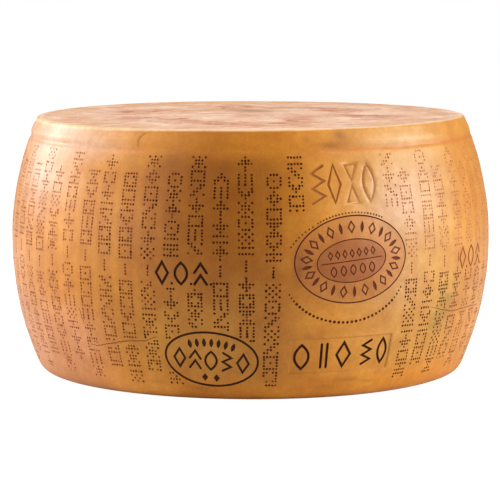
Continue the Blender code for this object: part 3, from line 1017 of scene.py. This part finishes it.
# A painted shadow at the left of the seal's ring.
tint = daubed(tint, SEAL_PAINTED_SHADOW, ((10.6, 0.1235, 1.1, 0.0140, 0.65),))
STAINS = ((52.5, 0.0860, 3.6, 0.0170, 0.58), (49.5, 0.0620, 3.2, 0.0140, 0.50))
specks = np.sin(laid[:, 0] * 1400 + 2 * np.sin(side_height * 900)) * np.sin(side_height * 1150)
tint = daubed(tint, GREEN_STAIN, STAINS, 0.75 + 0.9 * specks)
SCUFFS = (
    (22.4, 0.2325, 1.6, 0.0045, 0.6), (19.6, 0.2245, 2.2, 0.0030, 0.5), (13.5, 0.2290, 1.2, 0.0030, 0.3),
    (-28.6, 0.2280, 0.7, 0.0070, 0.28), (-6.5, 0.2060, 2.2, 0.0080, 0.35), (-18.5, 0.2120, 1.6, 0.0060, 0.25),
    (25.0, 0.0175, 3.4, 0.0012, 0.45), (30.5, 0.0140, 2.4, 0.0009, 0.4), (18.0, 0.0120, 3.0, 0.0010, 0.3),
    (-13.0, 0.0115, 3.2, 0.0010, 0.35), (-24.0, 0.0150, 2.8, 0.0012, 0.35), (13.0, 0.0585, 1.6, 0.0009, 0.45),
    (5.5, 0.1600, 1.4, 0.0120, 0.22), (-34.0, 0.1320, 1.8, 0.0050, 0.25), (-46.0, 0.0980, 2.2, 0.0040, 0.20),
    (-37.0, 0.1050, 5.5, 0.0550, 0.19), (48.0, 0.1740, 6.0, 0.0240, 0.10), (64.0, 0.0900, 7.0, 0.0180, 0.22),
    (13.5, 0.1220, 4.5, 0.0260, 0.30), (19.0, 0.1000, 5.5, 0.0110, 0.32), (23.0, 0.2270, 4.5, 0.0080, 0.15),
    (6.5, 0.0180, 5.0, 0.0120, 0.13), (46.0, 0.1980, 18.0, 0.0360, 0.07), (-1.0, 0.1950, 6.0, 0.0120, 0.07),
)
tint = daubed(tint, SCUFF_BROWN, SCUFFS)


def noise_spread(tree, where, noise, spread):
    """A noise spread over a range, by the settings of both nodes."""
    source = add_node(tree, "TexNoise", **noise)
    ranged = add_node(tree, "MapRange", **spread)
    tree.links.new(where, source.inputs["Vector"])
    tree.links.new(source.outputs["Fac"], ranged.inputs["Value"])
    return ranged.outputs["Result"]


def mixed(tree, factor, first, second, **settings):
    """A mix of two colours; the factor and both colours are values or other nodes' outputs."""
    mix = add_node(tree, "Mix", data_type="RGBA", **settings)
    for place, source in ((0, factor), (6, first), (7, second)):
        if isinstance(source, bpy.types.NodeSocket):
            tree.links.new(source, mix.inputs[place])
        else:
            mix.inputs[place].default_value = source
    return mix.outputs[2]


def varied(tree, colour, where, scale, detail, low, high, dark, light):
    """The colour times a noise that runs from a dark factor to a light one."""
    noise = dict(Scale=scale, Detail=detail, Roughness=0.62)
    spread = noise_spread(tree, where, noise, dict(From_Min=low, From_Max=high))
    factor = mixed(tree, spread, dark + (1.0,), light + (1.0,))
    return mixed(tree, 1.0, colour, factor, blend_type="MULTIPLY")


def rough_and_bumped(tree, shader, where, bumps, rough_low, rough_high, rough_scale):
    """Roughness that varies in patches, and a stack of fine bumps: scale, strength and depth each."""
    spread = dict(From_Min=0.3, From_Max=0.7, To_Min=rough_low, To_Max=rough_high)
    patches = noise_spread(tree, where, dict(Scale=rough_scale, Detail=4.0), spread)
    tree.links.new(patches, shader.inputs["Roughness"])
    normal = None
    for scale, strength, depth in bumps:
        noise = add_node(tree, "TexNoise", Scale=scale, Detail=4.0, Roughness=0.6)
        bump = add_node(tree, "Bump", Strength=strength, Distance=depth)
        tree.links.new(where, noise.inputs["Vector"])
        tree.links.new(noise.outputs["Fac"], bump.inputs["Height"])
        if normal:
            tree.links.new(normal, bump.inputs["Normal"])
        normal = bump.outputs["Normal"]
    tree.links.new(normal, shader.inputs["Normal"])


RIND_MOTTLES = (
    (11.0, 4.0, 0.34, 0.66, (0.87, 0.78, 0.63), (1.05, 1.05, 1.05)),
    (38.0, 6.0, 0.36, 0.66, (0.90, 0.82, 0.66), (1.06, 1.06, 1.06)),
    (130.0, 5.0, 0.36, 0.66, (0.96, 0.92, 0.83), (1.03, 1.03, 1.04)),
    (520.0, 3.0, 0.35, 0.65, (0.96, 0.93, 0.87), (1.03, 1.03, 1.03)),
)
RIND_SHINE = (
    ("Specular IOR Level", 0.10), ("Coat Weight", 0.90), ("Coat IOR", 1.38), ("Coat Roughness", 0.42),
)
RIND_BUMPS = ((90.0, 0.28, 0.0008), (480.0, 0.20, 0.0003), (1500.0, 0.14, 0.00015))


def rind_material():
    """Waxy rind: the laid colour, mottled in four sizes, with a soft shine and fine pores."""
    material, tree, shader, where = finish_named("waxed_rind", 0.40)
    colour = add_node(tree, "Attribute", attribute_name="laid_colour").outputs["Color"]
    for mottle in RIND_MOTTLES:
        colour = varied(tree, colour, where, *mottle)
    tree.links.new(colour, shader.inputs["Base Color"])
    for name, value in RIND_SHINE:
        shader.inputs[name].default_value = value
    rough_and_bumped(tree, shader, where, RIND_BUMPS, 0.36, 0.52, 30.0)
    return material


def pressed_material(name, colour, roughness):
    """A burnt or shaded mark in the rind, one colour with a rough, uneven floor."""
    material, tree, shader, where = finish_named(name, roughness)
    shader.inputs["Base Color"].default_value = linear(*colour)
    shader.inputs["Specular IOR Level"].default_value = 0.15
    rough_and_bumped(tree, shader, where, ((700.0, 0.5, 0.0003),), roughness - 0.1, roughness + 0.1, 260.0)
    return material


# The finishes of the marks, in the order of their tones: the name, colour and roughness of each.
PRESSED = (
    ("dot_faint", (216, 148, 98), 0.50), ("dot_soft", (194, 114, 72), 0.55),
    ("dot_brown", (158, 82, 42), 0.60), ("dot_dark", (104, 46, 14), 0.66),
    ("burnt_dark", (68, 34, 14), 0.60), ("burnt_red", (116, 54, 34), 0.60),
    ("pressed_bare", (198, 122, 56), 0.46), ("crack_brown", (160, 96, 54), 0.70),
)
wall_materials = [rind_material()] + [pressed_material(*finish) for finish in PRESSED]

tints = np.ones((len(points), 4))
tints[:side_count] = tint


def make_panel(name, chosen, slots, uv):
    """Cut the chosen faces out of the skin as a piece of their own, with the whole skin's normals."""
    used, inverse = np.unique(faces[chosen], return_inverse=True)
    mesh = bpy.data.meshes.new(name)
    mesh.from_pydata(points[used].tolist(), [], inverse.reshape(-1, 3).tolist())
    mesh.polygons.foreach_set("material_index", np.asarray(slots, dtype=np.int32))
    mesh.shade_smooth()
    map_layer = mesh.uv_layers.new(name="OFBake")
    map_layer.data.foreach_set("uv", uv.reshape(-1).astype(np.float32))
    laid = mesh.attributes.new("laid_colour", "FLOAT_COLOR", "POINT")
    laid.data.foreach_set("color", tints[used].reshape(-1).astype(np.float32))
    mesh.normals_split_custom_set(corner_normals[chosen].reshape(-1, 3).tolist())
    panel = bpy.data.objects.new(name, mesh)
    bpy.context.scene.collection.objects.link(panel)
    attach(panel, "root")
    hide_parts("cheese_wheel")
    return panel


# The side, in four panels that meet at the seam and at three upright lines between dot columns.
PANEL_NAMES = ("rind_front_right", "rind_back_right", "rind_back_left", "rind_front_left")
face_along = face_middles[:, 0]
for number, name in enumerate(PANEL_NAMES):
    start, end = panel_starts[number], panel_starts[number + 1]
    chosen = np.flatnonzero((face_along >= start) & (face_along < end))
    flat = net_places[net_faces[chosen]] - (start, 0.0)
    uv = 0.01 + 0.98 * flat / (end - start)
    panel = make_panel(name, chosen, face_kind[chosen], uv)
    for material in wall_materials:
        panel.data.materials.append(material)

# The two flat faces. The top one dried on boards under a cloth: creamier and pinker than the side,
# streaked rosy brown along the boards' grain and most of all round a ring pressed into it, and smeared
# grey near the middle. The lower one, on which the wheel rests, is plainer and more golden.
TOP_CREAM = linear(238, 200, 170)
TOP_EDGE = linear(228, 182, 144)
TOP_ROSE = linear(222, 170, 142)
TOP_AMBER = linear(230, 172, 112)
STREAK_ROSE = linear(206, 142, 116)
STREAK_PALE = linear(255, 232, 210)
STREAK_BROWN = linear(190, 126, 92)
SMEAR_GREY = linear(158, 128, 98)
top_chosen = np.flatnonzero(face_kind == len(TONES))
low_chosen = np.flatnonzero(face_kind == len(TONES) + 1)
streak_share = np.zeros(len(points))
for numbers, strength in ((slice(side_count, low_start), 1.0), (slice(low_start, None), 0.45)):
    spots = points[numbers]
    x, y = spots[:, 0], spots[:, 1]
    reach = np.hypot(x, y)
    patches = face_roll(spots[:, :2], 77)
    imprint = np.exp(-(((np.hypot(x + 0.004, (y + 0.018) / 0.88) - 0.108) / 0.026) ** 2))
    imprint = strength * np.clip(imprint * (0.75 + 0.9 * patches), 0, 1)
    colour = np.tile(np.array(TOP_CREAM), (len(spots), 1))
    edge_share = 0.8 * smooth_step(reach, 0.140, 0.170) * (1 - 0.5 * smooth_step(-y, 0.12, 0.18))
    colour = blend(colour, TOP_EDGE, edge_share)
    colour = blend(colour, TOP_ROSE, 0.22 + 0.30 * patches + 0.65 * imprint)
    colour = blend(colour, TOP_AMBER, 0.7 * soft_spot(x, y, -0.02, 0.070, 0.055, 0.018))
    colour = blend(colour, TOP_AMBER, 0.6 * smooth_step(y, 0.11, 0.16) * smooth_step(0.10 - x, 0, 0.08))
    colour = blend(colour, SMEAR_GREY, 0.9 * strength * soft_spot(x, y, 0.002, 0.026, 0.021, 0.022))
    colour = blend(colour, LOW_GOLD, (1 - strength) * (0.35 + 0.5 * smooth_step(reach, 0.10, 0.18)))
    tints[numbers] = colour
    streak_share[numbers] = 0.36 + 0.85 * imprint


def streaked(tree, colour, where, scale, low, high, streak, share, laid_share=None):
    """The colour with streaks of another over it where a noise runs high, by a laid share if given."""
    noise = dict(Scale=scale, Detail=8.0, Roughness=0.64, Distortion=0.3)
    spread = dict(interpolation_type="SMOOTHSTEP", From_Min=low, From_Max=high, To_Max=share)
    factor = noise_spread(tree, where, noise, spread)
    if laid_share:
        product = add_node(tree, "Math", operation="MULTIPLY", use_clamp=True)
        tree.links.new(factor, product.inputs[0])
        tree.links.new(laid_share, product.inputs[1])
        factor = product.outputs[0]
    return mixed(tree, factor, colour, streak)


def face_material(name, deep):
    """A dried flat face: the laid colour with rosy and pale streaks along the boards, dry and uneven."""
    material, tree, shader, where = finish_named(name, 0.6)
    shader.inputs["Specular IOR Level"].default_value = 0.20
    along_boards = add_node(tree, "Mapping", Scale=(1.0, 3.4, 1.0))
    tree.links.new(where, along_boards.inputs["Vector"])
    grain = along_boards.outputs["Vector"]
    colour = add_node(tree, "Attribute", attribute_name="laid_colour").outputs["Color"]
    laid_share = add_node(tree, "Attribute", attribute_name="streak_share").outputs["Fac"]
    colour = streaked(tree, colour, where, 14.0, 0.44, 0.66, STREAK_ROSE, 0.8 * deep, laid_share)
    colour = streaked(tree, colour, where, 30.0, 0.47, 0.68, STREAK_PALE, 1.18 * deep)
    colour = streaked(tree, colour, grain, 34.0, 0.47, 0.60, STREAK_ROSE, 1.1 * deep, laid_share)
    colour = streaked(tree, colour, where, 62.0, 0.51, 0.58, STREAK_BROWN, 1.7 * deep, laid_share)
    colour = varied(tree, colour, where, 450.0, 3.0, 0.35, 0.65, (0.94, 0.92, 0.90), (1.03, 1.03, 1.03))
    tree.links.new(colour, shader.inputs["Base Color"])
    rough_and_bumped(tree, shader, where, ((120.0, 0.4, 0.0008), (600.0, 0.35, 0.0003)), 0.52, 0.70, 36.0)
    return material


def disc_map(chosen):
    return 0.5 + points[faces[chosen]][:, :, :2] / (2.04 * RIM_RADIUS)


top = make_panel("top_face", top_chosen, np.zeros(len(top_chosen)), disc_map(top_chosen))
top.data.materials.append(face_material("dried_top", 0.55))
lower = make_panel("lower_face", low_chosen, np.zeros(len(low_chosen)), disc_map(low_chosen))
lower.data.materials.append(face_material("pressed_foot", 0.30))
for panel, chosen in ((top, top_chosen), (lower, low_chosen)):
    laid = panel.data.attributes.new("streak_share", "FLOAT", "POINT")
    laid.data.foreach_set("value", streak_share[np.unique(faces[chosen])].astype(np.float32))
